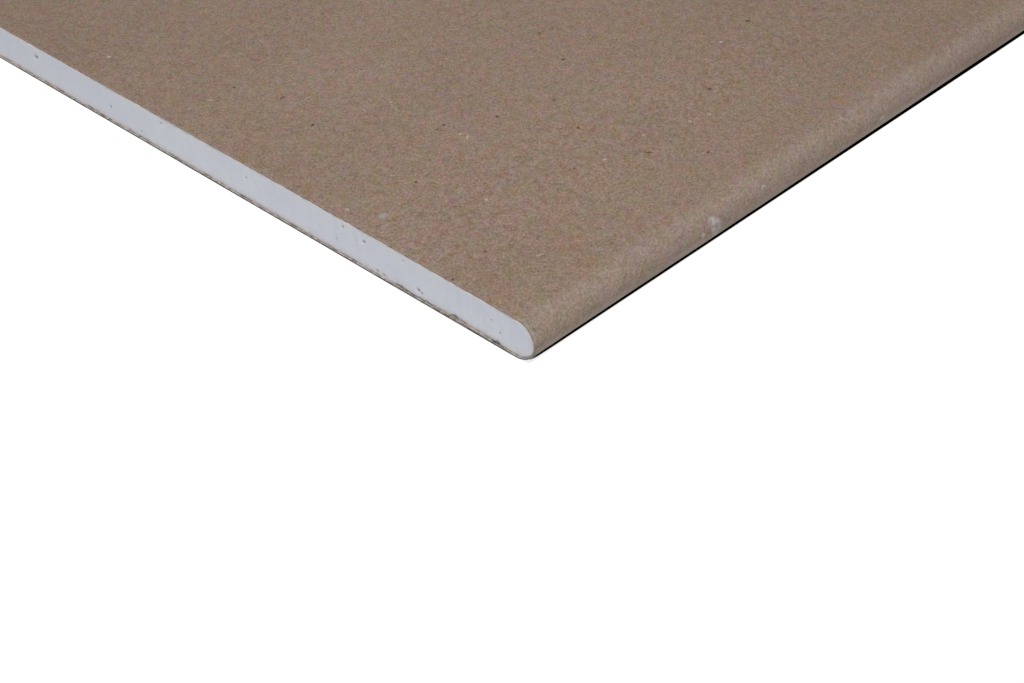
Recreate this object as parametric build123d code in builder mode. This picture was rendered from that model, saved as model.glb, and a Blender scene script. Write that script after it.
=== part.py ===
"""A drywall sheet: an aerated gypsum core cast between two papers.

The sheet lies on its back, with its face up. X runs across its width, Y along its length
and Z through its thickness. The origin is the middle of the underside.

Both long edges are half-round and tapered. The face paper runs over the face, round both
long edges and a little way in under the back paper, where it is glued down. Both short
ends are cut square, so that they show the core between the two papers.
"""

import os

from build123d import *

# Driving dimensions, in millimetres
board_length = 2000.0
board_width = 1250.0
board_thickness = 12.5
face_paper_thickness = 0.4
back_paper_thickness = 0.4
taper_width = 78.0  # from the long edge to where the face starts to fall
taper_depth = 0.62  # how far the face has fallen where the half-round takes over
bare_lap = 8.0  # flat strip of face paper that shows on the back, beside the half-round
joggle = 3.0  # the strip over which the lap steps in under the back paper
hidden_lap = 18.0  # the strip of the lap that is glued under the back paper

# Places that follow from them, on the side where X is positive
half_width = board_width / 2
edge_radius = (board_thickness - taper_depth) / 2
round_centre_x = half_width - edge_radius
taper_start_x = half_width - taper_width
taper_middle_x = (taper_start_x + round_centre_x) / 2
back_paper_edge_x = round_centre_x - bare_lap
joggle_end_x = back_paper_edge_x - joggle
lap_end_x = joggle_end_x - hidden_lap


def long_edge(inset):
    """Half-round and taper of a surface that lies inset inside the sheet's own, as arcs.

    Returns the point under the half-round and the point where the taper meets the face.
    """
    half_round = CenterArc((round_centre_x, edge_radius), edge_radius - inset, -90, 180)
    hollow = TangentArc(
        half_round @ 1,
        (taper_middle_x, board_thickness - taper_depth / 2 - inset),
        tangent=(-1, 0),
    )
    crown = TangentArc(hollow @ 1, (taper_start_x, board_thickness - inset), tangent=hollow % 1)
    return half_round @ 0, crown @ 1


def sheet_outline():
    """Half of the whole sheet's section, papers included."""
    low, high = long_edge(0)
    Polyline(high, (0, board_thickness), (0, 0), low)


def core_outline():
    """Half of the core's section: what the papers leave, with its recess for the lap."""
    low, high = long_edge(face_paper_thickness)
    lap_top = back_paper_thickness + face_paper_thickness
    Polyline(
        high,
        (0, board_thickness - face_paper_thickness),
        (0, back_paper_thickness),
        (lap_end_x, back_paper_thickness),
        (lap_end_x, lap_top),
        (joggle_end_x, lap_top),
        (back_paper_edge_x, face_paper_thickness),
        low,
    )


def back_paper_outline():
    """Half of the back paper's section. Its edge is skived to lie on the stepped lap."""
    Polyline(
        (0, 0),
        (back_paper_edge_x, 0),
        (joggle_end_x, back_paper_thickness),
        (0, back_paper_thickness),
        close=True,
    )


# The core, cast between the papers
with BuildPart() as gypsum_core:
    with BuildSketch(Plane.XZ):
        with BuildLine():
            core_outline()
        make_face()
        mirror(about=Plane.YZ)
    extrude(amount=board_length / 2, both=True)

# The face paper, which fills what the core and the back paper leave of the section
with BuildPart() as face_paper:
    with BuildSketch(Plane.XZ):
        with BuildLine():
            sheet_outline()
        make_face()
        with BuildLine():
            core_outline()
        make_face(mode=Mode.SUBTRACT)
        with BuildLine():
            back_paper_outline()
        make_face(mode=Mode.SUBTRACT)
        mirror(about=Plane.YZ)
    extrude(amount=board_length / 2, both=True)

# The back paper, between the two bare strips of the laps
with BuildPart() as back_paper:
    with BuildSketch(Plane.XZ):
        with BuildLine():
            back_paper_outline()
        make_face()
        mirror(about=Plane.YZ)
    extrude(amount=board_length / 2, both=True)

os.makedirs("parts", exist_ok=True)

gypsum_core.part.label = "gypsum_core"
export_step(gypsum_core.part, "parts/gypsum_core.step")

face_paper.part.label = "face_paper"
export_step(face_paper.part, "parts/face_paper.step")

back_paper.part.label = "back_paper"
export_step(back_paper.part, "parts/back_paper.step")
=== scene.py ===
"""Looks of a drywall sheet that lies face up on a pale floor.

Metres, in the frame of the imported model: X across the sheet, Y along it, Z up, with the
origin in the middle of the underside. The three CAD pieces are replaced by finer meshes of
the same form, whose long edges are slightly uneven and whose cut ends have pits, crumbled
rims and torn paper. The camera looks at the corner where X is highest and Y lowest.
"""

import functools
import itertools
import math

import bmesh
import bpy
import numpy as np
from mathutils import Matrix, Vector


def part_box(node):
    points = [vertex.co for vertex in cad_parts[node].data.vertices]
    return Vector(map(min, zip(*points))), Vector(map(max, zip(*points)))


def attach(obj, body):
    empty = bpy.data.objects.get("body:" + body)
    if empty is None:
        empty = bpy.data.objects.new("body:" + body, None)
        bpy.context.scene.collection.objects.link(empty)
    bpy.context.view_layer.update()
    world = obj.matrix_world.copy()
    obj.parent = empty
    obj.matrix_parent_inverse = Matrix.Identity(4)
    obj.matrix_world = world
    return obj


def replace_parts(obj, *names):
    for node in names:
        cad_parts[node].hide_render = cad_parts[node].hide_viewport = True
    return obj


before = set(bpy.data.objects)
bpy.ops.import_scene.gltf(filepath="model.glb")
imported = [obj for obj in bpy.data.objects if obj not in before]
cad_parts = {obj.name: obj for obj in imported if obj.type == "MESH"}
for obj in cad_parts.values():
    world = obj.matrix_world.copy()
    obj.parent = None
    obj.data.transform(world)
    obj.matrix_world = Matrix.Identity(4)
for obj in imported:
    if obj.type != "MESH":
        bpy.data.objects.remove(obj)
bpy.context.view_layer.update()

MM = 0.001

# Sizes that the frame gives
_, face_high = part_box("face_paper")
back_low, back_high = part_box("back_paper")
core_low, core_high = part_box("gypsum_core")
half_width = face_high.x
half_length = face_high.y
thickness = face_high.z
face_paper = face_high.z - core_high.z
back_paper = core_low.z - back_low.z
back_edge_x = back_high.x

# Sizes of the edge form, as in the model's source
taper_width = 78 * MM
taper_depth = 0.62 * MM
bare_lap = 8 * MM
joggle = 3 * MM
hidden_lap = 18 * MM

edge_radius = (thickness - taper_depth) / 2
half_turn = math.pi * edge_radius
round_x = half_width - edge_radius
taper_start_x = half_width - taper_width
joggle_end_x = back_edge_x - joggle
lap_end_x = joggle_end_x - hidden_lap

# Ways along the face paper, from its middle, at which the parts of its lap start
bare_way = round_x + half_turn
joggle_way = bare_way + bare_lap
hidden_way = joggle_way + joggle

# Camera, fitted to the photo, whose frame is 1024 by 683 pixels
PHOTO_WIDTH = 1024
FOCAL_PIXELS = 1675.9
SENSOR_WIDTH = 36.0
CAMERA_FROM_CORNER = Vector((216.1, -237.2, 256.3)) * MM
CAMERA_YAW = math.radians(-43.303)
CAMERA_PITCH = math.radians(37.722)
CAMERA_ROLL = math.radians(0.076)
CLIP_START = 0.02
CLIP_END = 60

# Light: a faint sky, a soft key that leans towards the long edge in view, and a front fill. Of
# each lamp: the direction towards it, what a facing surface gets, and its spread in degrees
SKY = 0.17
LAMPS = {
    "key": ((0.39, -0.12, 0.91), 0.84, 4),
    "front_fill": ((0.0, -0.8, 0.6), 0.10, 30),
}

# The floor: how far it reaches, its height, what it bounces, and what direct rays see
FLOOR_REACH = 40
FLOOR_LEVEL = -0.02 * MM
FLOOR_BOUNCE = 0.72
FLOOR_IN_VIEW = 0.24
FLOOR_GLOW = 0.80

# The painted black shadow in the crevice under the rounded edges: how far it reaches out from
# where they touch the floor, at some distances from the ends of the sheet, and how soft its rim is
CREVICE_REACH = [(0.0, 2.6 * MM), (3.2 * MM, 3.46 * MM), (9 * MM, 3.57 * MM), (210 * MM, 4.2 * MM)]
CREVICE_RIM = 0.08 * MM

# How far in from the sheet's ends it is fully black, begins and is gone, and how pale it begins
CREVICE_FULL = 4.2 * MM
CREVICE_BEGIN = 1.9 * MM
CREVICE_NONE = 0.8 * CREVICE_BEGIN
CREVICE_PALE = 0.2

# How far before the cut ends the painted contact shadow on the floor fades out
CONTACT_SHADOW = 0.09 * MM

# Mean colours of the papers, and of the dust, grime, specks and marks on them. The edge dust
# also paints light, and the rim grime also paints shade
FACE_BROWN = (0.262, 0.187, 0.145)
BACK_BROWN = (0.225, 0.165, 0.130)
EDGE_GREY = (0.24, 0.28, 0.30)
EDGE_DUST_AND_LIGHT = (0.50, 0.475, 0.43)
EDGE_SCUFF = (0.43, 0.43, 0.44)
RIM_DUST = (0.45, 0.425, 0.412)
RIM_DIRT_AND_SHADE = (0.085, 0.078, 0.071)
DARK_SPECK = (0.06, 0.042, 0.032)
DARK_DASH = (0.08, 0.04, 0.025)
PALE_SPECK = (0.46, 0.40, 0.35)
PALE_MARK = (0.56, 0.485, 0.425)
BLUISH_MARK = (0.39, 0.44, 0.43)

# Torn paper: its darkest and palest colours, and how much of its base the grime and painted shade
# cover
DIRTY_SHADED_TEAR = ((0.11, 0.104, 0.098), (0.39, 0.362, 0.345), 0.9)
CLEAN_TEAR = ((0.33, 0.285, 0.26), (0.52, 0.465, 0.435), 0.55)
TEAR_CRUMB = (0.64, 0.61, 0.605)

# Colours of the cut gypsum, of the painted shade in its pores, holes and pits, and of what clings
# to it
GYPSUM_TINTS = ((0.79, 0.81, 0.90), (0.79, 0.83, 0.885))
PORE_SHADE = (0.42, 0.43, 0.43)
HOLE_SHADE = (0.30, 0.30, 0.31)
PIT_SHADE = (0.30, 0.295, 0.29)
GYPSUM_SOIL = (0.78, 0.705, 0.68)
DARK_BIT = (0.16, 0.14, 0.13)
UPPER_FUZZ = (0.87, 0.79, 0.755)
NOSE_SMEAR = (0.47, 0.425, 0.40)


def smoothstep(low, high, value):
    """0 up to low, 1 from high on, and a smooth rise between them."""
    t = np.clip((value - low) / (high - low), 0, 1)
    return t * t * (3 - 2 * t)


def between(rise, drop, value):
    """1 between a rise and a drop, each given as where it begins and ends, and 0 outside."""
    return smoothstep(*rise, value) * (1 - smoothstep(*drop, value))


def noise(size, seed, *axes):
    """Smooth noise from -1 to 1 with features about size across, at points given by their axes."""
    table = np.random.default_rng(seed).uniform(-1, 1, 4096)
    primes = np.array([73856093, 19349663, 83492791])[: len(axes)]
    place = np.stack(np.broadcast_arrays(*axes), -1) / size
    cell = np.floor(place).astype(np.int64)
    part = place - cell
    part = part * part * (3 - 2 * part)
    total = 0
    for corner in itertools.product((0, 1), repeat=len(axes)):
        key = np.bitwise_xor.reduce((cell + corner) * primes, axis=-1) & 4095
        weight = np.prod(np.where(corner, part, 1 - part), axis=-1)
        total = total + weight * table[key]
    return total


def rough_noise(size, seed, *axes):
    """Noise from 0 to 1 in three layers, each finer and weaker than the one before."""
    layers = sum(noise(size / 2**n, seed + n, *axes) / 2**n for n in range(3))
    return np.clip(0.5 + layers / 2.4, 0, 1)


def peaks(values):
    """1 at the few highest places of rough noise, and 0 at most others."""
    return smoothstep(0.62, 0.9, values)


def stops(*parts):
    """Rising places made of parts, each (start, end, spacing), that follow each other."""
    places = [np.array([parts[0][0]])]
    for start, end, spacing in parts:
        count = max(1, round((end - start) / spacing))
        places.append(np.linspace(start, end, count + 1)[1:])
    return np.concatenate(places)


def both_sides(places):
    """Places from zero upwards, with their mirror images before them."""
    return np.concatenate([-places[:0:-1], places])


def fall(x):
    """How far the face has fallen at a distance x from the middle, over the taper's two arcs."""
    t = np.clip((round_x - x) / (round_x - taper_start_x), 0, 1)
    return taper_depth * np.where(t < 0.5, 1 - 2 * t**2, 2 * (1 - t) ** 2)


def paper_section(u, depth):
    """x and z of the face paper's path: u is the way along it from the middle of the face.

    The path goes over the face, round the long edge and in under the back paper. The depth
    is how far inside the outer surface.
    """
    way = np.abs(u)
    turn = np.clip((way - round_x) / edge_radius, 0, math.pi)
    under = np.maximum(way - round_x - half_turn, 0)
    radius = edge_radius - depth
    x = np.minimum(way, round_x) + radius * np.sin(turn) - under
    lift = back_paper * np.clip((under - bare_lap) / joggle, 0, 1)
    flat_z = thickness - fall(way) - depth
    round_z = edge_radius + radius * np.cos(turn)
    return np.sign(u) * x, np.where(way < round_x, flat_z, round_z) + lift


def add_object(name, data):
    thing = bpy.data.objects.new(name, data)
    bpy.context.scene.collection.objects.link(thing)
    return thing


# Edges of the meshes are sharp from this angle on
SHARP_FROM = math.radians(35)


class Surface:
    """Vertices and faces of one piece, collected patch by patch."""

    def __init__(self):
        self.points = []
        self.faces = []
        self.count = 0

    def add(self, x, y, z):
        """Adds points, given by arrays of their coordinates, and returns their numbers."""
        x, y, z = np.broadcast_arrays(x, y, z)
        numbers = np.arange(self.count, self.count + x.size).reshape(x.shape)
        self.points.append(np.stack([x, y, z], -1).reshape(-1, 3))
        self.count += x.size
        return numbers

    def along(self, numbers):
        """The y of each of the numbered points."""
        return np.concatenate(self.points)[numbers, 1]

    def grid(self, numbers):
        """Quads between the rows and columns of point numbers. Repeated numbers make triangles."""
        numbers = np.asarray(numbers)
        near, far = numbers[:-1], numbers[1:]
        quads = np.stack([near[:, :-1], near[:, 1:], far[:, 1:], far[:, :-1]], -1)
        for quad in quads.reshape(-1, 4).tolist():
            corners = list(dict.fromkeys(quad))
            if len(corners) > 2:
                self.faces.append(corners)

    def stitch(self, row_a, row_b, along_a, along_b):
        """Triangles between two rows of points, at the rising places along_a and along_b."""
        a = b = 0
        last_a = len(row_a) - 1
        last_b = len(row_b) - 1
        while a < last_a or b < last_b:
            if b == last_b or a < last_a and along_a[a + 1] <= along_b[b + 1]:
                triangle = (row_a[a], row_a[a + 1], row_b[b])
                a += 1
            else:
                triangle = (row_a[a], row_b[b + 1], row_b[b])
                b += 1
            self.faces.append([int(n) for n in triangle])

    def make(self, name, material):
        """The finished piece, with its faces turned outwards, riding on the sheet."""
        mesh = bpy.data.meshes.new(name)
        mesh.from_pydata(np.concatenate(self.points).tolist(), [], self.faces)
        work = bmesh.new()
        work.from_mesh(mesh)
        bmesh.ops.recalc_face_normals(work, faces=work.faces)
        work.to_mesh(mesh)
        work.free()
        mesh.shade_smooth()
        mesh.set_sharp_from_angle(angle=SHARP_FROM)
        mesh.materials.append(material)
        piece = add_object(name, mesh)
        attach(piece, "root")
        return piece


# Rows along the sheet, finer near its ends. They stop at a strip beside each end, in which the
# face paper has one more row
FINE_STRIP = 260 * MM
END_STRIP = 3 * MM
CUT_STRIP = 1.2 * MM
long_rows = both_sides(
    stops(
        (0, half_length - FINE_STRIP, 8 * MM),
        (half_length - FINE_STRIP, half_length - END_STRIP, 2.5 * MM),
    )
)

# Columns of the face paper: a coarse set for its length and a fine one for its cut ends
lap_stops = (
    (bare_way, joggle_way, 2 * MM),
    (joggle_way, hidden_way, 1.5 * MM),
    (hidden_way, hidden_way + hidden_lap, 9 * MM),
)
long_columns = both_sides(
    stops(
        (0, taper_start_x, 60 * MM),
        (taper_start_x, round_x, 6 * MM),
        (round_x, round_x + half_turn, half_turn / 28),
        *lap_stops,
    )
)
end_columns = both_sides(
    stops(
        (0, 350 * MM, 1.2 * MM),
        (350 * MM, round_x, 0.5 * MM),
        (round_x, round_x + half_turn, half_turn / 48),
        *lap_stops,
    )
)


# Wear of the long edges: how deep broad and short stretches are pressed in, in mm, and how much
# fuller than half round the edges are, mostly about 2 mm up
BROAD_WEAR = 0.10
SHORT_WEAR = 0.06
LOWER_BULGE = 0.12 * MM


def wear(u, y):
    """How far the paper is pressed in at the long edges, less than nothing where it bulges."""
    way = np.abs(u)
    turn = (way - round_x) / half_turn
    start = (round_x - 8 * MM, round_x + 3 * MM)
    stop = (round_x + 0.8 * half_turn, round_x + half_turn)
    place = (u * 2, y + np.sign(u) * 0.5)
    broad = rough_noise(45 * MM, 11, *place)
    short = rough_noise(9 * MM, 21, *place)
    pressed = between(start, stop, way) * (BROAD_WEAR * broad**2 + SHORT_WEAR * short**3) * MM
    return pressed - LOWER_BULGE * between((0.5, 0.7), (0.76, 0.95), turn)


# Ragged cuts of the papers: about how deep they are at most
OUTER_NICKS = 0.55 * MM
INNER_NICKS = 0.25 * MM
BACK_NICKS = 0.27 * MM


def cut_y(end, seed, way, deepest, set_back=0):
    """y of a ragged paper cut at an end: mostly just inside it, with a few nicks."""
    seed = seed + end
    fuzz = 0.35 * rough_noise(1.1 * MM, seed, way) ** 1.5
    nicks = 0.7 * peaks(rough_noise(7 * MM, seed + 5, way))
    ragged = deepest * (fuzz + nicks * rough_noise(2.2 * MM, seed + 9, way))
    return end * (half_length - ragged - set_back)


# How far the cut core stands back at the top and at the bottom, and the paper's cut before it
UPPER_SET_BACK = 0.05 * MM
LOWER_SET_BACK = 0.5 * MM
PAPER_LEAD = 0.06 * MM


def core_set_back(z):
    """How far the cut core stands back from the end at a height, before its relief."""
    return LOWER_SET_BACK + (UPPER_SET_BACK - LOWER_SET_BACK) * z / thickness


def paper_set_back(z):
    """How far the face paper's cut stands back at a height: with the core, but not at the floor."""
    behind = np.maximum(core_set_back(z) - PAPER_LEAD, 0)
    return behind * smoothstep(0.8 * MM, 3 * MM, z)


def make_face_paper(material):
    """The face paper, wrapped round both long edges, with its two cut ends."""
    paper = Surface()
    u = long_columns[None, :]
    y = long_rows[:, None]
    x, z = paper_section(u, wear(u, y))
    outer = paper.add(x, y, z)
    paper.grid(outer)

    way = end_columns
    inner_ends = []
    sides = {0: [], -1: []}
    for end, end_row in ((-1, outer[0]), (1, outer[-1])):
        near = end * (half_length - CUT_STRIP)
        x, z = paper_section(way, wear(way, near))
        near_row = paper.add(x, near, z)
        cut = cut_y(end, 31, way, OUTER_NICKS, paper_set_back(z))
        x, z = paper_section(way, wear(way, cut))
        cut_row = paper.add(x, cut, z)
        x, z = paper_section(way, face_paper)
        cut = cut_y(end, 51, way, INNER_NICKS, paper_set_back(z))
        inner_row = paper.add(x, cut, z)
        paper.stitch(near_row, end_row, way, long_columns)
        paper.grid([near_row, cut_row])
        paper.grid([cut_row, inner_row])
        inner_ends.append(inner_row)
        for column, corners in sides.items():
            corners.append([cut_row[column], near_row[column]])
    paper.grid(inner_ends)
    for column, (front, rear) in sides.items():
        edge = [*front, *outer[:, column], *rear[::-1]]
        inner = [row[column] for row in inner_ends]
        paper.stitch(edge, inner, paper.along(edge), paper.along(inner))
    return paper.make("face_paper_sheet", material)


# Pits of the cut end in view: x and z, half width and half height, and depth, in mm
FRONT_PITS = [
    (414.6, 8.3, 0.9, 0.6, 0.7),
    (452.5, 5.4, 0.4, 0.5, 0.5),
    (478.0, 10.0, 0.4, 0.3, 0.4),
    (467.0, 2.7, 0.5, 0.3, 0.25),
    (556.0, 9.8, 0.35, 0.35, 0.5),
    (564.0, 8.8, 0.45, 0.4, 0.6),
    (553.0, 4.5, 0.3, 0.3, 0.4),
    (516.0, 7.8, 0.4, 0.3, 0.25),
    (584.0, 2.9, 0.5, 0.45, 0.8),
    (585.3, 2.5, 0.35, 0.3, 0.5),
    (568.5, 1.5, 0.5, 0.35, 0.5),
    (570.9, 1.2, 0.6, 0.4, 0.5),
    (610.3, 7.0, 0.25, 0.25, 0.3),
    (613.2, 4.4, 0.3, 0.3, 0.25),
]

# More pits at random: their number, and the least and most of those five
MORE_PITS = 260
PIT_LEAST = (-620, 1.2, 0.15, 0.12, 0.1)
PIT_MOST = (620, 11.6, 0.4, 0.3, 0.35)

# Saw marks and pores of the cut core: depth and size in mm, and how far drawn out in Z
CUT_LAYERS = [(0.04, 1.1, 6), (0.04, 4, 3), (0.02, 0.7, 1)]

# How deep and over how far its rims are crumbled, and its lower rim is chipped
RIM_CRUMBS = 0.35 * MM
CRUMBLED_RIM = 0.4 * MM
LOWER_CHIPS = 0.28 * MM
CHIPPED_RIM = 1.3 * MM

# The fine grid of the core's cut ends
CORE_ROWS = 22
core_columns = both_sides(
    stops(
        (0, 360 * MM, 1.3 * MM),
        (360 * MM, round_x, 0.45 * MM),
        (round_x, round_x + half_turn / 2, half_turn / 44),
    )
)


def core_underside(x):
    """Height of the core's underside, with its recess for the lap of the face paper."""
    places = [0, lap_end_x - 0.01 * MM, lap_end_x, joggle_end_x, back_edge_x, round_x]
    lap_top = back_paper + face_paper
    heights = [back_paper, back_paper, lap_top, lap_top, face_paper, face_paper]
    return np.interp(x, places, heights)


def cut_relief(seed, x, z, low, high, pits):
    """How far the cut core stands back from the end: saw marks, pores, pits and crumbled rims."""
    depth = core_set_back(z)
    for n, (deep, size, drawn_out) in enumerate(CUT_LAYERS):
        depth = depth + deep * MM * noise(size * MM, seed + n, x, z / drawn_out)
    rim = np.minimum(z - low, high - z)
    crumbs = rough_noise(1.6 * MM, seed + 3, x, z)
    crumbled = 1 - 0.7 * smoothstep(round_x + 2 * MM, round_x + 5 * MM, np.abs(x))
    depth = depth + RIM_CRUMBS * crumbled * crumbs**2 * (1 - smoothstep(0, CRUMBLED_RIM, rim))
    lower_rim = 1 - smoothstep(0, CHIPPED_RIM, z - low)
    depth = depth + LOWER_CHIPS * lower_rim * peaks(rough_noise(3 * MM, seed + 7, x, z))
    draw = np.random.default_rng(seed)
    for pit in [*pits, *draw.uniform(PIT_LEAST, PIT_MOST, (MORE_PITS, 5))]:
        pit_x, pit_z, half_wide, half_tall, deep = (value * MM for value in pit)
        near = np.abs(x[0] - pit_x) < 3 * half_wide
        across = (x[:, near] - pit_x) / half_wide
        up = (z[:, near] - pit_z) / half_tall
        uneven = 1 + 0.3 * noise(0.6 * MM, seed + 4, x[:, near], z[:, near])
        depth[:, near] += deep * np.exp(-((across**2 + up**2) ** 1.5) * uneven)
    return np.maximum(depth, 0)


def make_gypsum_core(material):
    """The core, whose two cut ends are fine grids and whose hidden sides run between them."""
    core = Surface()
    way = core_columns
    x, high = paper_section(way, face_paper)
    under = core_underside(np.abs(x))
    low = np.where(np.abs(way) > round_x, 2 * edge_radius - high, under)
    share = np.linspace(0, 1, CORE_ROWS + 1)
    crowded = (1 - np.cos(math.pi * share)) / 2
    share = (0.55 * share + 0.45 * crowded)[:, None]
    z = low + (high - low) * share
    x = np.broadcast_to(x, z.shape)
    ends = []
    for end, seed, pits in ((-1, 61, FRONT_PITS), (1, 81, [])):
        depth = cut_relief(seed, x, z, low, high, pits)
        numbers = core.add(x, end * (half_length - depth), z)
        for column in (0, -1):
            numbers[:, column] = numbers[0, column]
        core.grid(numbers)
        ends.append(numbers)
    for row in (0, -1):
        core.grid([numbers[row] for numbers in ends])
    return core.make("gypsum_core_body", material)


def make_back_paper(material):
    """The back paper, with torn ends and with skived edges, slightly askew, on the laps."""
    paper = Surface()
    across = both_sides(stops((0, joggle_end_x, 1.2 * MM)))
    corners_y = np.array([-1, 1]) * (half_length - END_STRIP)
    right, left = (
        back_edge_x - 0.7 * MM * rough_noise(22 * MM, seed, corners_y) ** 1.3
        for seed in (101, 107)
    )
    lower_rows = []
    upper_rows = []
    for end, right_x, left_x in zip((-1, 1), right, left):
        cut = cut_y(end, 111, across, BACK_NICKS)
        lower_x = [-left_x, *across, right_x]
        lower_rows.append(paper.add(lower_x, [cut[0], *cut, cut[-1]], 0.0))
        cut = cut_y(end, 121, across, BACK_NICKS)
        upper_rows.append(paper.add(across, cut, back_paper))
    paper.grid(lower_rows)
    paper.grid(upper_rows)
    for lower, upper in zip(lower_rows, upper_rows):
        paper.grid([lower, [upper[0], *upper, upper[-1]]])
    for column in (0, -1):
        paper.grid([[row[column] for row in rows] for rows in (lower_rows, upper_rows)])
    return paper.make("back_paper_sheet", material)


# Torn paper on the lower rim of the cut end in view: bands where it stands high, as x from, x
# to and added height, in mm, and single flaps, as x, width and height
FRONT_BANDS = [(599.5, 602, 0.35), (606, 613, 0.65), (613, 617, 0.2), (484, 489, 0.2)]
FRONT_FLAPS = [
    (577, 3, 0.95),
    (580.6, 3.5, 0.8),
    (587.3, 3, 0.8),
    (593.3, 2, 0.8),
    (597.3, 3.4, 1.6),
]

# More flaps at random: their number, least and most of those three, and how far at most they
# lean and their tips are aside, as shares of their size
MORE_FLAPS = 150
FLAP_LEAST = (-612, 1.2, 0.35)
FLAP_MOST = (612, 4, 0.7)
FLAP_LEAN = 0.35
TIP_ASIDE = 0.15

# How much larger than a flap its painted shade is, a dark slip in the fringe behind it, in mm
FLAP_SHADE = 0.112

# The fringe, in mm: least height, what swells and shreds add, and over how far a band rises
FRINGE_HEIGHT = 0.12
FRINGE_SWELL = 0.2
FRINGE_SHRED = 0.25
BAND_RISE = 0.8

# How thick the torn paper is, and how far the fringe stands behind the end's plane
RIM_THICKNESS = 0.07 * MM
BEHIND = 0.12 * MM


def rim_place(way, up):
    """x and z of a point that lies up from the sheet's lower outline, way along it."""
    turn = np.clip((np.abs(way) - round_x) / edge_radius, 0, math.pi)
    radius = edge_radius - up
    x = np.sign(way) * (np.minimum(np.abs(way), round_x) + radius * np.sin(turn))
    return x, edge_radius - radius * np.cos(turn)


def add_slip(surface, end, way, up, stand):
    """A thin slip of torn paper, whose front stands somewhat behind the sheet's end."""
    x, z = rim_place(way, up)
    front = surface.add(x, end * (half_length - stand), z)
    rear = surface.add(x, end * (half_length - stand - RIM_THICKNESS), z)
    surface.grid(front)
    surface.grid(rear)
    for before, behind in ((front, rear), (front.T, rear.T)):
        surface.grid([before[0], behind[0]])
        surface.grid([before[-1], behind[-1]])


def flap_outline(middle, width, tall, lean, aside, grown=0.0):
    """Ways and heights, as grids, of a flap with a rounded and slightly uneven tip."""
    across = np.linspace(-0.5, 0.5, 9)[None, :]
    share = np.linspace(0, 1, 5)[:, None]
    top = tall * (1 - (1.7 * np.abs(across + aside)) ** 2.5)
    top = top + 0.15 * noise(0.5, 7, across * width, middle)
    top = np.maximum(top, 0.15) + grown
    way = middle + across * (width + 2 * grown) + lean * share * tall
    return way * MM, (0.02 + share * top) * MM


def loose_flaps(seed, given):
    """The given flaps and many random ones, each with its lean and how far aside its tip is."""
    draw = np.random.default_rng(seed)
    places = [*given, *draw.uniform(FLAP_LEAST, FLAP_MOST, (MORE_FLAPS, 3))]
    return [
        (*place, draw.uniform(-FLAP_LEAN, FLAP_LEAN), draw.uniform(-TIP_ASIDE, TIP_ASIDE))
        for place in places
    ]


def fringe_height(seed, way, reach, bands):
    """How high the fringe stands, with its bands, falling to little where its reach ends."""
    height = FRINGE_HEIGHT + FRINGE_SWELL * rough_noise(6 * MM, seed, way) ** 1.5
    shreds = smoothstep(0.45, 0.8, rough_noise(1.3 * MM, seed + 3, way))
    height = height + FRINGE_SHRED * shreds
    for start, stop, more in bands:
        rise, drop = ((place - BAND_RISE, place + BAND_RISE) for place in (start, stop))
        rough = 0.3 + 0.9 * rough_noise(1.2 * MM, seed + 4, way)
        height = height + more * between(rise, drop, way / MM) * rough
    return np.minimum(height, 0.15 + 2 * (reach - np.abs(way)) / MM) * MM


def make_torn_rim(name, end, seed, bands, given, dirty_and_shaded, clean):
    """Torn paper along the lower rim of a cut end: a dark fringe of grime and painted shade, and
    cleaner flaps before it.
    """
    fringe = Surface()
    flaps = Surface()
    reach = round_x + 0.8 * edge_radius
    way = both_sides(stops((0, 360 * MM, 0.9 * MM), (360 * MM, reach, 0.32 * MM)))
    share = np.array([0.0, 0.4, 0.75, 1.0])[:, None]
    up = 0.03 * MM + share * fringe_height(seed, way, reach, bands)
    stand = BEHIND + 0.08 * MM * rough_noise(2 * MM, seed + 6, way, up)
    add_slip(fringe, end, way, up, stand + 0.1 * MM * share**2)

    for flap in loose_flaps(seed, given):
        # Behind each flap a larger dark slip: painted shade round it
        add_slip(fringe, end, *flap_outline(*flap, FLAP_SHADE), BEHIND)
        way, up = flap_outline(*flap)
        stand = (0.01 + 0.05 * rough_noise(0.8 * MM, seed + 9, way, up)) * MM
        add_slip(flaps, end, way, up, stand)
    fringe.make(name + "_fringe", dirty_and_shaded)
    flaps.make(name + "_flaps", clean)


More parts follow.
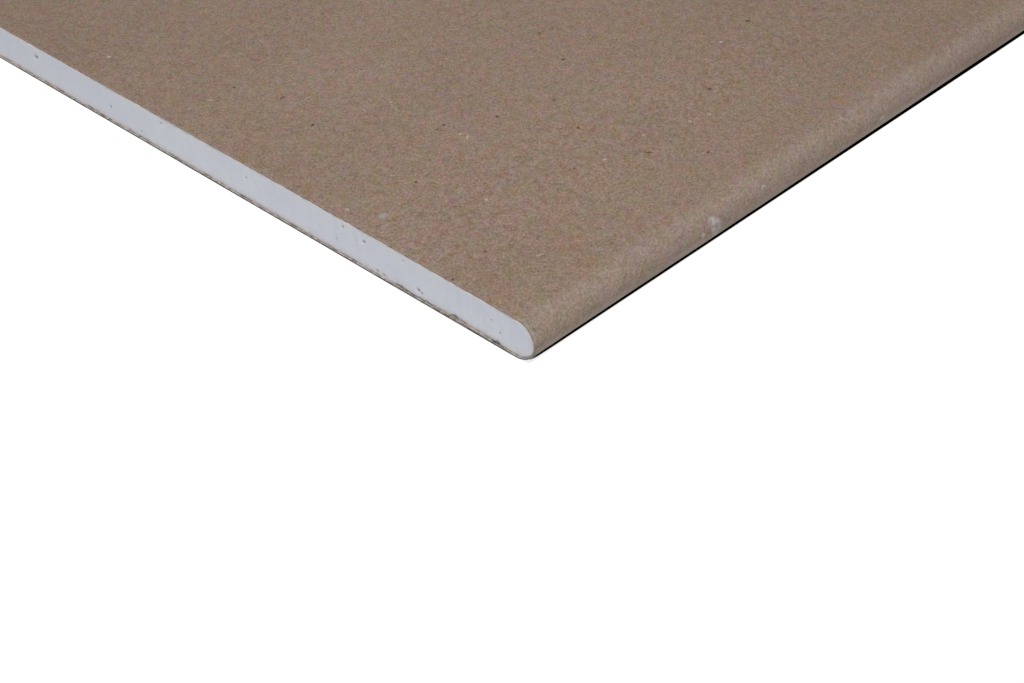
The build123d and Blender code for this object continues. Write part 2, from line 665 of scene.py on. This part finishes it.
class Material:
    """A material with one Principled shader and textures at real sizes in metres."""

    def __init__(self, name, roughness, specular):
        self.material = bpy.data.materials.new(name)
        self.material.use_nodes = True
        self.tree = self.material.node_tree
        self.tree.nodes.clear()
        self.output = self.add("OutputMaterial")
        self.shader = self.add("BsdfPrincipled")
        self.shader.inputs["Roughness"].default_value = roughness
        self.shader.inputs["Specular IOR Level"].default_value = specular
        self.link(self.shader.outputs[0], self.output.inputs["Surface"])
        self.place = self.add("TexCoord").outputs["Object"]

    def add(self, kind):
        return self.tree.nodes.new("ShaderNode" + kind)

    def link(self, source, target):
        self.tree.links.new(source, target)

    def set(self, socket, value):
        """Links a socket to another or gives it a value."""
        if isinstance(value, bpy.types.NodeSocket):
            self.link(value, socket)
        else:
            socket.default_value = value

    def operate(self, kind, operation, values):
        node = self.add(kind)
        node.operation = operation
        for socket, value in zip(node.inputs, values):
            self.set(socket, value)
        return node

    def math(self, operation, *values):
        return self.operate("Math", operation, values).outputs[0]

    def vector(self, operation, *values):
        return self.operate("VectorMath", operation, values).outputs[0]

    def join(self, operation, values):
        """The values, joined one after the other by an operation."""
        return functools.reduce(lambda total, value: self.math(operation, total, value), values)

    def sum(self, *values):
        return self.join("ADD", values)

    def product(self, *values):
        return self.join("MULTIPLY", values)

    def largest(self, *values):
        return self.join("MAXIMUM", values)

    def smallest(self, *values):
        return self.join("MINIMUM", values)

    def weighted(self, parts):
        """The sum of textures, each times its own amount."""
        return self.sum(*(self.product(texture, amount) for texture, amount in parts))

    def varied(self, base, parts):
        """A base that textures about one half raise and lower, each by its own amount."""
        return self.sum(self.weighted(parts), base - sum(amount / 2 for _, amount in parts))

    def range(self, value, low, high, to_low=0.0, to_high=1.0, smooth=False):
        """Takes low to high onto to_low to to_high, and holds the value between those."""
        node = self.add("MapRange")
        node.interpolation_type = "SMOOTHSTEP" if smooth else "LINEAR"
        self.set(node.inputs["Value"], value)
        limits = {"From Min": low, "From Max": high, "To Min": to_low, "To Max": to_high}
        for name, number in limits.items():
            node.inputs[name].default_value = number
        return node.outputs["Result"]

    def mapped(self, stretch=(1, 1, 1), turn=0.0, at=(0, 0, 0), place=None):
        """The place in a frame at another point, turned about Z and stretched along its axes."""
        node = self.add("Mapping")
        node.vector_type = "TEXTURE"
        node.inputs["Location"].default_value = at
        node.inputs["Rotation"].default_value = (0, 0, turn)
        node.inputs["Scale"].default_value = stretch
        self.link(place or self.place, node.inputs["Vector"])
        return node.outputs[0]

    def warped(self, size, amount):
        """The place, shifted by up to an amount either way, by noise with features of a size."""
        wobble = self.add("TexNoise")
        wobble.inputs["Scale"].default_value = 1 / size
        self.link(self.place, wobble.inputs["Vector"])
        shift = self.vector("SUBTRACT", wobble.outputs["Color"], (0.5, 0.5, 0.5))
        return self.vector("MULTIPLY_ADD", shift, (2 * amount,) * 3, self.place)

    def axes(self):
        """How far the place lies aside and along from the middle of the sheet, and its height."""
        node = self.add("SeparateXYZ")
        self.link(self.place, node.inputs[0])
        aside = self.math("ABSOLUTE", node.outputs["X"])
        along = self.math("ABSOLUTE", node.outputs["Y"])
        return aside, along, node.outputs["Z"]

    def inside_round(self, aside, away):
        """How deep a place lies inside the round edge, away above or below the edge's centre."""
        across = self.largest(self.math("SUBTRACT", aside, round_x), 0.0)
        squares = self.sum(self.product(across, across), self.product(away, away))
        return self.math("SUBTRACT", edge_radius, self.math("SQRT", squares))

    def rim_depth(self):
        """How far inside the sheet's lower outline the place is, as seen on the cut end."""
        aside, _, height = self.axes()
        below = self.smallest(self.math("SUBTRACT", height, edge_radius), 0.0)
        return self.inside_round(aside, below)

    def top_depth(self):
        """How far inside the sheet's upper outline the place is, as seen on the cut end."""
        aside, _, height = self.axes()
        raised = edge_radius + taper_depth
        centre = self.range(aside, taper_start_x, round_x, raised, edge_radius, smooth=True)
        above = self.largest(self.math("SUBTRACT", height, centre), 0.0)
        return self.inside_round(aside, above)

    def noise(self, size, stretch=(1, 1, 1), turn=0.0, at=(0, 0, 0), detail=2.0, roughness=0.5):
        """Noise from 0 to 1 with features about size across."""
        node = self.add("TexNoise")
        node.inputs["Scale"].default_value = 1 / size
        node.inputs["Detail"].default_value = detail
        node.inputs["Roughness"].default_value = roughness
        self.link(self.mapped(stretch, turn, at), node.inputs["Vector"])
        return node.outputs["Fac"]

    def specks(self, spacing, radius, share, stretch=(1, 1, 1), turn=0.0, at=(0, 0, 0)):
        """Small spots, in the given share of cells that are spacing apart."""
        node = self.add("TexVoronoi")
        node.inputs["Scale"].default_value = 1 / spacing
        place = self.warped(1.2 * radius, 0.45 * radius)
        self.link(self.mapped(stretch, turn, at, place), node.inputs["Vector"])
        pick = self.add("SeparateColor")
        self.link(node.outputs["Color"], pick.inputs[0])
        chosen = self.math("LESS_THAN", pick.outputs[0], share)
        size = self.range(pick.outputs[1], 0, 1, 0.5 * radius / spacing, radius / spacing)
        inside = self.math("SUBTRACT", size, node.outputs["Distance"])
        spot = self.range(inside, 0, 0.35 * radius / spacing, smooth=True)
        return self.product(spot, chosen)

    def mark(self, at, size, turn=0.0, softness=0.5, place=None):
        """One spot of a given size, with its middle at a point of the sheet."""
        half_sizes = tuple(value / 2 for value in size)
        place = self.mapped(half_sizes, turn, at, place)
        length = self.operate("VectorMath", "LENGTH", [place]).outputs["Value"]
        return self.range(length, 1 + softness, 1 - softness, smooth=True)

    def blend(self, share, colour_a, colour_b):
        node = self.add("Mix")
        node.data_type = "RGBA"
        for name, value in (("Factor_Float", share), ("A_Color", colour_a), ("B_Color", colour_b)):
            socket = next(s for s in node.inputs if s.identifier == name)
            if isinstance(value, tuple):
                value = (*value, 1.0)
            self.set(socket, value)
        return next(s for s in node.outputs if s.identifier == "Result_Color")

    def shade(self, colour, factor):
        """A colour times a factor."""
        node = self.operate("VectorMath", "SCALE", [colour])
        self.set(node.inputs["Scale"], factor)
        return node.outputs[0]

    def cover(self, colour, *shares):
        """Covers the material's colour with another, by the product of the shares."""
        self.colour = self.blend(self.product(*shares), self.colour, colour)

    def dim(self, factor):
        """Multiplies the material's colour by a factor."""
        self.colour = self.shade(self.colour, factor)

    def finished(self):
        self.link(self.colour, self.shader.inputs["Base Color"])
        return self.material

    def relief(self, height, depth):
        """Bump from a height of 0 to 1 that stands for depth in metres."""
        node = self.add("Bump")
        node.inputs["Strength"].default_value = 1.0
        node.inputs["Distance"].default_value = depth
        self.set(node.inputs["Height"], height)
        self.link(node.outputs[0], self.shader.inputs["Normal"])


# How the grain of the paper is turned, and how fine its drifts in hue are
GRAIN_TURN = math.radians(43)
HUE_NOISE = {"detail": 4, "roughness": 0.62}

# Factors of the paper's red, green and blue where its hue drifts
WARM = (1.17, 0.89, 0.97)
COOL = (0.83, 1.11, 1.03)
YELLOW = (1, 1.03, 0.67)
BLUISH = (1, 0.97, 1.33)
YELLOWER = (0.98, 1.02, 0.88)
GREYER = (0.86, 1, 1.12)

# Textures of the paper: size, how they are drawn out and turned, detail, and weight in its tone
PAPER_TEXTURES = {
    "clouds": (330 * MM, (1, 1.8, 1), 0.0, 2, 0.16),
    "drifts": (32 * MM, (1, 1.6, 1), 0.0, 3, 0.20),
    "mottle": (2.4 * MM, (1, 1.3, 1), GRAIN_TURN, 2, 0.54),
    "grain": (0.74 * MM, (1, 1.3, 1), GRAIN_TURN, 2, 1.02),
    "fine": (0.33 * MM, (1, 1.3, 1), GRAIN_TURN, 1, 0.80),
    "fibres_a": (0.40 * MM, (1, 3, 1), math.radians(25), 2, 0.52),
    "fibres_b": (0.40 * MM, (1, 3, 1), math.radians(-60), 2, 0.52),
}
PAPER_RELIEF = {"grain": 0.4, "fine": 0.2, "fibres_a": 0.2, "fibres_b": 0.2}

# Specks in the paper: spacing, size, share of cells with one, how they are drawn out and
# turned, strength and colour
PAPER_SPECKS = [
    (7 * MM, 0.8 * MM, 0.10, (1, 1.7, 1), 0.5, 0.6, DARK_SPECK),
    (9 * MM, 0.4 * MM, 0.12, (1, 4, 1), -0.9, 0.6, DARK_DASH),
    (8 * MM, 0.8 * MM, 0.08, (1, 1.5, 1), 1.1, 0.45, PALE_SPECK),
    (12 * MM, 0.3 * MM, 0.2, (1, 9, 1), 0.7, 0.55, PALE_SPECK),
]


def tinted(colour, factors):
    return tuple(part * factor for part, factor in zip(colour, factors))


def paper_texture(name, brown, seed):
    """Recycled board paper: a brown that drifts in hue, clouds, grain, fibres and specks."""
    paper = Material(name, 0.92, 0.12)
    shift = (seed * 0.37, seed * 0.21, 0.0)
    cast_shift = (0.9, 0.4, seed * 0.37)
    slow_shift = (0.2, 0.6, seed * 0.37)
    hue = paper.noise(2.7 * MM, (1, 1.85, 1), GRAIN_TURN, shift, **HUE_NOISE)
    cast = paper.noise(2.9 * MM, (1, 1.8, 1), GRAIN_TURN, cast_shift, **HUE_NOISE)
    slow = paper.noise(38 * MM, at=slow_shift, detail=3)
    hue_colour = paper.blend(paper.range(hue, 0.32, 0.68), tinted(brown, WARM), tinted(brown, COOL))
    cast_share = paper.range(cast, 0.32, 0.68)
    cast_colour = paper.blend(cast_share, tinted(brown, YELLOW), tinted(brown, BLUISH))
    paper.colour = paper.blend(0.5, hue_colour, cast_colour)
    paper.cover(tinted(brown, YELLOWER), paper.range(slow, 0.3, 0.7, 0.0, 0.3))

    textures = {}
    tones = []
    for kind, (size, drawn_out, turn, detail, weight) in PAPER_TEXTURES.items():
        textures[kind] = paper.noise(size, drawn_out, turn, shift, detail)
        tones.append((textures[kind], weight))
    tone = paper.shade(tinted(brown, GREYER), paper.varied(0.0, tones))
    paper.colour = paper.vector("ADD", paper.colour, tone)
    for *form, strength, colour in PAPER_SPECKS:
        paper.cover(colour, paper.specks(*form, shift), strength)

    roughness = paper.range(textures["mottle"], 0.3, 0.7, 0.88, 0.97)
    paper.set(paper.shader.inputs["Roughness"], roughness)
    heights = [(textures[kind], share) for kind, share in PAPER_RELIEF.items()]
    paper.relief(paper.weighted(heights), 0.09 * MM)
    return paper


def dust_cuts(paper):
    """Dusts the paper's cut ends, and paints a thin dark line of grime and painted contact shadow
    on their lower rim.
    """
    _, along, height = paper.axes()
    at_end = paper.range(along, half_length - 1.3 * MM, half_length - 0.8 * MM)
    uneven = paper.range(paper.noise(1.4 * MM, detail=3), 0.3, 0.6)
    low = paper.range(height, 0.6 * thickness, 0.3 * thickness)
    inside = paper.smallest(paper.rim_depth(), paper.top_depth())
    on_rim = paper.largest(
        paper.range(along, half_length - 0.5 * MM, half_length - 0.05 * MM, 0.0, 0.8),
        paper.range(inside, 0, 0.12 * MM),
    )
    paper.cover(RIM_DUST, paper.range(low, 0, 1, 0.55, 0.85), uneven, on_rim, at_end)
    # A thin dark line at the lowest rim: grime and painted contact shadow
    outermost = paper.range(paper.rim_depth(), 0.38 * MM, 0.16 * MM)
    lowest = paper.range(height, 2.6 * MM, 1.0 * MM, 0.3, 1.0)
    paper.cover(RIM_DIRT_AND_SHADE, outermost, paper.smallest(low, lowest), at_end)


# Marks on the face near the corner in view: x and y from it, width and length, all in mm, and
# turn in degrees
DARK_MARKS = [
    (-110.8, 26.9, 0.9, 1.4, 30),
    (-83.5, 52.5, 0.8, 1.3, -40),
    (-83.1, 49.4, 0.6, 0.9, 0),
    (-75.7, 66.3, 0.9, 1.3, 60),
    (-67.5, 25.8, 0.7, 1.0, 20),
    (-144.2, 25.4, 0.8, 1.1, 0),
    (-84.7, 104.8, 1.0, 1.4, 10),
    (-70.2, 84.7, 0.7, 1.0, 45),
    (-59.2, 163.7, 1.1, 1.6, -20),
    (-41.4, 121.3, 1.0, 1.4, 15),
    (-54.5, 77.7, 0.8, 1.2, 70),
    (-31.7, 81.4, 0.6, 2.2, -55),
    (-19.8, 93.1, 0.8, 1.2, 30),
    (-41.2, 60.8, 0.7, 1.0, 0),
    (-31.3, 15.4, 0.7, 1.0, 0),
    (-28.7, 0.9, 0.7, 1.1, 20),
]
PALE_BLOTCH = [(-62.0, 8.4, 2.0, 2.4, 10)]
PALE_MARKS = [
    (-73.9, 52.3, 0.5, 2.0, 43),
    (-76.6, 52.1, 0.7, 1.0, 0),
    (-47.7, 32.9, 0.7, 1.0, 30),
    (-104.0, 51.1, 0.7, 1.0, 0),
    (-186.9, 11.4, 0.9, 1.3, -30),
    (-143.3, 15.9, 0.5, 2.4, -60),
    (-20.2, 24.0, 0.5, 2.2, -25),
    (-38.3, 70.2, 0.7, 1.0, 0),
    (-56.8, 146.7, 0.9, 1.3, 20),
    (-38.8, 87.6, 0.7, 1.0, 0),
    (-34.0, 102.8, 0.7, 1.1, 50),
]

# Each kind of mark: where they are, how soft, how strong, and their colour
FACE_MARKS = [
    (DARK_MARKS, 0.4, 0.85, DARK_SPECK),
    (PALE_BLOTCH, 0.9, 0.5, BLUISH_MARK),
    (PALE_MARKS, 0.45, 0.57, PALE_MARK),
]


def face_marks(paper, marks, softness):
    """The marks as spots on the face, near the corner where X is highest and Y lowest."""
    place = paper.warped(0.9 * MM, 0.25 * MM)
    spots = []
    for x, y, width, length, turn in marks:
        at = (half_width + x * MM, -half_length + y * MM, thickness)
        size = (width * MM, length * MM, 4 * MM)
        spots.append(paper.mark(at, size, math.radians(turn), softness, place))
    return paper.largest(*spots)


# Scuffs on the long edge in view: y from the near end, height, length and tallness, in mm
EDGE_SCUFFS = [
    (71.9, 5.6, 3.4, 6.0),
    (70.5, 8.5, 2.8, 2.2),
    (91.0, 9.8, 1.6, 1.3),
    (93.5, 8.9, 1.2, 1.0),
    (151.2, 6.0, 3.0, 0.9),
    (66.2, 6.2, 1.4, 1.6),
]


def edge_scuffs(paper):
    """The scuffs as uneven spots on the long edge where X is highest."""
    place = paper.warped(1.6 * MM, 0.9 * MM)
    spots = []
    for y, height, length, tall in EDGE_SCUFFS:
        at = (half_width, -half_length + y * MM, height * MM)
        spots.append(paper.mark(at, (6 * MM, length * MM, tall * MM), place=place))
    return paper.largest(*spots)


# How far from a corner the painted light makes the face paler than elsewhere
CORNER_REACH = 205 * MM


def painted_corner_light(paper):
    """A factor that makes the face palest at the sheet's corners: a painted pool of light."""
    aside, along, _ = paper.axes()
    from_edge = paper.math("SUBTRACT", half_width, aside)
    from_end = paper.math("SUBTRACT", half_length, along)
    squares = paper.sum(paper.product(from_edge, from_edge), paper.product(from_end, from_end))
    return paper.range(squares, 0, CORNER_REACH**2, 1.045, 0.90)


def face_paper_material():
    """Board paper, with crests pale from wear and a painted sheen, dust and painted light on the
    lower edges, painted light at the corners, and a few scuffs and marks.
    """
    paper = paper_texture("face_paper", FACE_BROWN, 1)
    paper.dim(painted_corner_light(paper))
    for marks, softness, strength, colour in FACE_MARKS:
        paper.cover(colour, face_marks(paper, marks, softness), strength)

    aside, _, height = paper.axes()
    patchy = paper.noise(13 * MM, (1, 2, 1), detail=4)
    # The crest is painted paler: wear, and a painted sheen where light glances off it
    worn_and_sheen = paper.smallest(
        paper.range(aside, round_x - 4 * MM, round_x + 2.5 * MM, smooth=True),
        paper.range(height, 0.70 * thickness, 0.93 * thickness, smooth=True),
    )
    worn_and_sheen = paper.product(worn_and_sheen, paper.range(patchy, 0.3, 0.7, 0.7, 1.3))
    paper.dim(paper.math("MULTIPLY_ADD", worn_and_sheen, 0.045, 1.0))
    rounded = paper.range(aside, round_x - 2 * MM, round_x + 2 * MM, 0.0, 0.11, smooth=True)
    paper.cover(EDGE_GREY, rounded)

    # Paler lower part of the long edge: dust, and painted light from below
    low_edge_dust_and_light = paper.smallest(
        paper.range(aside, round_x, round_x + 4 * MM, smooth=True),
        paper.range(height, 0.50 * thickness, 0.20 * thickness, smooth=True),
    )
    paper.cover(EDGE_DUST_AND_LIGHT, low_edge_dust_and_light, paper.range(patchy, 0.35, 0.65, 0.25, 0.6))

    broken = paper.range(paper.noise(1.8 * MM, detail=4), 0.38, 0.6, 0.15, 0.8)
    paper.cover(EDGE_SCUFF, edge_scuffs(paper), broken)
    dust_cuts(paper)
    return paper.finished()


def back_paper_material():
    """Board paper, with torn and paler fibres along its two skived edges."""
    paper = paper_texture("back_paper", BACK_BROWN, 2)
    aside, _, _ = paper.axes()
    seam = paper.range(aside, back_edge_x - 2.2 * MM, back_edge_x - 0.8 * MM)
    fuzz = paper.range(paper.noise(0.9 * MM, (1, 2.5, 1), detail=3), 0.35, 0.65, 0.1, 0.8)
    paper.cover(PALE_SPECK, seam, fuzz)
    dust_cuts(paper)
    return paper.finished()


def torn_paper_material(name, dark, pale, base_grime_and_shade):
    """Torn layers of the paper, patchy between two colours, with gypsum crumbs and a dark base of
    grime and painted shade.
    """
    paper = Material(name, 0.97, 0.05)
    patches = paper.noise(1.7 * MM, detail=4)
    fibres = paper.noise(0.5 * MM, detail=4)
    crumbs = paper.noise(1.1 * MM, at=(0.3, 0.7, 0.1), detail=3)
    paper.colour = paper.blend(paper.range(patches, 0.38, 0.6), dark, pale)
    paper.dim(paper.range(fibres, 0.3, 0.7, 0.75, 1.25))
    paper.cover(TEAR_CRUMB, paper.range(crumbs, 0.55, 0.64, 0.0, 0.65))
    paper.cover(RIM_DIRT_AND_SHADE, paper.range(paper.rim_depth(), 0.55 * MM, 0.30 * MM, 0.0, base_grime_and_shade))
    paper.relief(fibres, 0.1 * MM)
    return paper.finished()


def gypsum_material():
    """Cut gypsum: bluish white, with saw streaks, pores and pits in painted shade, a crumbled and
    soiled rim, and painted light that is strongest near the long edges.
    """
    gypsum = Material("cut_gypsum", 0.95, 0.2)
    streaks = gypsum.noise(1.5 * MM, (1, 1, 9), detail=3)
    patches = gypsum.noise(14 * MM, detail=3)
    grain = gypsum.noise(0.5 * MM, detail=3)
    gypsum.colour = gypsum.blend(gypsum.range(patches, 0.35, 0.65), *GYPSUM_TINTS)
    gypsum.dim(gypsum.varied(1.0, ((streaks, 0.06), (patches, 0.05), (grain, 0.10))))
    aside, _, level = gypsum.axes()
    # Painted light: the cut ends are darker further in from the long edges
    inner = half_width - 230 * MM
    outer = half_width - 110 * MM
    gypsum.dim(gypsum.range(aside, inner, outer, 0.925, 1.0))
    # Painted shade in the pores, holes and pits of the cut end
    pores = gypsum.specks(1.7 * MM, 0.22 * MM, 0.2)
    gypsum.cover(PORE_SHADE, pores, 0.45)
    holes = gypsum.specks(8 * MM, 0.5 * MM, 0.35)
    gypsum.cover(HOLE_SHADE, holes, 0.6)
    pits = []
    for x, z, half_wide, half_tall, _ in FRONT_PITS:
        at = (x * MM, -half_length, z * MM)
        pits.append(gypsum.mark(at, (2 * half_wide * MM, 3 * MM, 2 * half_tall * MM)))
    gypsum.cover(PIT_SHADE, gypsum.largest(*pits), 0.62)

    depth = gypsum.rim_depth()
    top_depth = gypsum.top_depth()
    low = gypsum.range(depth, 3.2 * MM, 0.8 * MM, smooth=True)
    crumbs = gypsum.noise(1.0 * MM, at=(0.2, 0.0, 0.5), detail=4)
    gypsum.cover(GYPSUM_SOIL, low, gypsum.range(crumbs, 0.35, 0.65, 0.25, 0.9))
    bits = gypsum.specks(1.3 * MM, 0.35 * MM, 0.35, at=(0.4, 0, 0))
    gypsum.cover(DARK_BIT, bits, gypsum.range(depth, 1.3 * MM, 0.7 * MM), 0.75)
    fuzz = gypsum.range(top_depth, 1.9 * MM, 0.5 * MM, 0.0, 0.8, smooth=True)
    gypsum.cover(UPPER_FUZZ, fuzz, gypsum.range(level, 0.55 * thickness, 0.8 * thickness))
    at_rim = gypsum.range(gypsum.smallest(depth, top_depth), 0.66 * MM, 0.5 * MM, 0.0, 0.85)
    at_nose = gypsum.range(aside, round_x - 8 * MM, round_x - 1 * MM)
    gypsum.cover(NOSE_SMEAR, gypsum.smallest(at_rim, at_nose))
    gypsum.set(gypsum.shader.inputs["Roughness"], gypsum.range(grain, 0.3, 0.7, 0.88, 1.0))
    hollows = gypsum.largest(pores, holes)
    gypsum.relief(gypsum.math("SUBTRACT", gypsum.product(grain, 0.6), hollows), 0.05 * MM)
    return gypsum.finished()


def add_camera():
    """The photo's camera, looking down at the near corner of the sheet."""
    turn = np.array([math.sin(CAMERA_YAW), math.cos(CAMERA_YAW), 0])
    ahead = turn * math.cos(CAMERA_PITCH) - np.array([0, 0, math.sin(CAMERA_PITCH)])
    right = np.array([turn[1], -turn[0], 0])
    down = np.cross(ahead, right)
    cosine, sine = math.cos(CAMERA_ROLL), math.sin(CAMERA_ROLL)
    right, down = cosine * right + sine * down, cosine * down - sine * right
    data = bpy.data.cameras.new("camera")
    data.sensor_width = SENSOR_WIDTH
    data.lens = FOCAL_PIXELS / PHOTO_WIDTH * SENSOR_WIDTH
    data.clip_start = CLIP_START
    data.clip_end = CLIP_END
    camera = add_object("camera", data)
    axes = Matrix((right, -down, -ahead)).transposed().to_4x4()
    corner = Vector((half_width, -half_length, 0))
    camera.matrix_world = Matrix.Translation(corner + CAMERA_FROM_CORNER) @ axes
    bpy.context.scene.camera = camera


def add_lamp(name, towards, strength, spread):
    """A distant lamp in the direction towards. Its strength is what a facing surface gets."""
    data = bpy.data.lights.new(name, "SUN")
    data.energy = strength * math.pi
    data.angle = math.radians(spread)
    lamp = add_object(name, data)
    lamp.rotation_mode = "QUATERNION"
    lamp.rotation_quaternion = Vector(towards).to_track_quat("Z", "Y")


def direct_rays(tree):
    """1 for what the camera sees, also in mirrors and through glass, and 0 for other light."""
    rays = tree.nodes.new("ShaderNodeLightPath")
    either = rays.outputs["Is Camera Ray"]
    for name in ("Is Glossy Ray", "Is Transmission Ray"):
        larger = tree.nodes.new("ShaderNodeMath")
        larger.operation = "MAXIMUM"
        tree.links.new(either, larger.inputs[0])
        tree.links.new(rays.outputs[name], larger.inputs[1])
        either = larger.outputs[0]
    return either


def add_sky():
    """A white backdrop to the camera, and a faint even sky to the object."""
    world = bpy.data.worlds.new("studio")
    world.use_nodes = True
    tree = world.node_tree
    tree.nodes.clear()
    strength = tree.nodes.new("ShaderNodeMapRange")
    tree.links.new(direct_rays(tree), strength.inputs["Value"])
    strength.inputs["To Min"].default_value = SKY
    strength.inputs["To Max"].default_value = 1.0
    background = tree.nodes.new("ShaderNodeBackground")
    background.inputs["Color"].default_value = (1, 1, 1, 1)
    tree.links.new(strength.outputs["Result"], background.inputs["Strength"])
    output = tree.nodes.new("ShaderNodeOutputWorld")
    tree.links.new(background.outputs[0], output.inputs["Surface"])
    bpy.context.scene.world = world


def painted_crevice_shadow(floor):
    """Painted shadow: 0 in the crevice under the rounded edges and close before the cut ends, and 1
    elsewhere.

    The photo shows both black. The line before an end stops where the edges round off.
    """
    aside, along, _ = floor.axes()
    from_end = floor.math("SUBTRACT", half_length, along)
    widening = [
        floor.range(from_end, start, end, 0.0, more - less)
        for (start, less), (end, more) in itertools.pairwise(CREVICE_REACH)
    ]
    reach = floor.sum(CREVICE_REACH[0][1], *widening)
    beyond = floor.math("SUBTRACT", floor.math("SUBTRACT", aside, round_x), reach)
    under_edges = floor.largest(
        floor.range(beyond, -CREVICE_RIM, CREVICE_RIM),
        floor.range(from_end, CREVICE_FULL, CREVICE_BEGIN, 0.0, CREVICE_PALE),
        floor.range(from_end, CREVICE_BEGIN, CREVICE_NONE),
    )
    before_end = floor.math("SUBTRACT", along, half_length)
    at_ends = floor.largest(
        floor.range(before_end, 0.0, CONTACT_SHADOW),
        floor.range(aside, round_x - 3 * MM, round_x + 1 * MM),
    )
    return floor.smallest(under_edges, at_ends)


def floor_material():
    """A pale floor that looks white, bounces less light than that and keeps the shadows, with a
    painted black shadow in the crevices.
    """
    floor = Material("floor", 1.0, 0.0)
    direct = direct_rays(floor.tree)
    outside = painted_crevice_shadow(floor)
    diffuse = floor.add("BsdfDiffuse")
    colour = floor.blend(outside, (0.0, 0.0, 0.0), (FLOOR_IN_VIEW,) * 3)
    floor.link(floor.blend(direct, (FLOOR_BOUNCE,) * 3, colour), diffuse.inputs["Color"])
    glow = floor.add("Emission")
    strength = floor.product(outside, direct, FLOOR_GLOW)
    floor.link(strength, glow.inputs["Strength"])
    both = floor.add("AddShader")
    floor.link(diffuse.outputs[0], both.inputs[0])
    floor.link(glow.outputs[0], both.inputs[1])
    floor.link(both.outputs[0], floor.output.inputs["Surface"])
    floor.tree.nodes.remove(floor.shader)
    return floor.material


def add_floor():
    """A wide level floor, a hair below the sheet."""
    mesh = bpy.data.meshes.new("floor")
    sides = ((-1, -1), (1, -1), (1, 1), (-1, 1))
    corners = [(x * FLOOR_REACH, y * FLOOR_REACH, FLOOR_LEVEL) for x, y in sides]
    mesh.from_pydata(corners, [], [(0, 1, 2, 3)])
    mesh.materials.append(floor_material())
    add_object("floor", mesh)


def light_scene():
    add_sky()
    add_floor()
    for name, settings in LAMPS.items():
        add_lamp(name, *settings)
    bpy.context.scene.view_settings.view_transform = "Standard"


def make_sheet():
    """The three pieces of the sheet, each standing for its CAD node, and their torn edges."""
    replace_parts(make_gypsum_core(gypsum_material()), "gypsum_core")
    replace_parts(make_face_paper(face_paper_material()), "face_paper")
    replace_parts(make_back_paper(back_paper_material()), "back_paper")
    dirty_and_shaded = torn_paper_material("dirty_shaded_paper", *DIRTY_SHADED_TEAR)
    clean = torn_paper_material("clean_paper", *CLEAN_TEAR)
    make_torn_rim("front_torn", -1, 201, FRONT_BANDS, FRONT_FLAPS, dirty_and_shaded, clean)
    make_torn_rim("rear_torn", 1, 231, [], [], dirty_and_shaded, clean)


add_camera()
light_scene()
make_sheet()
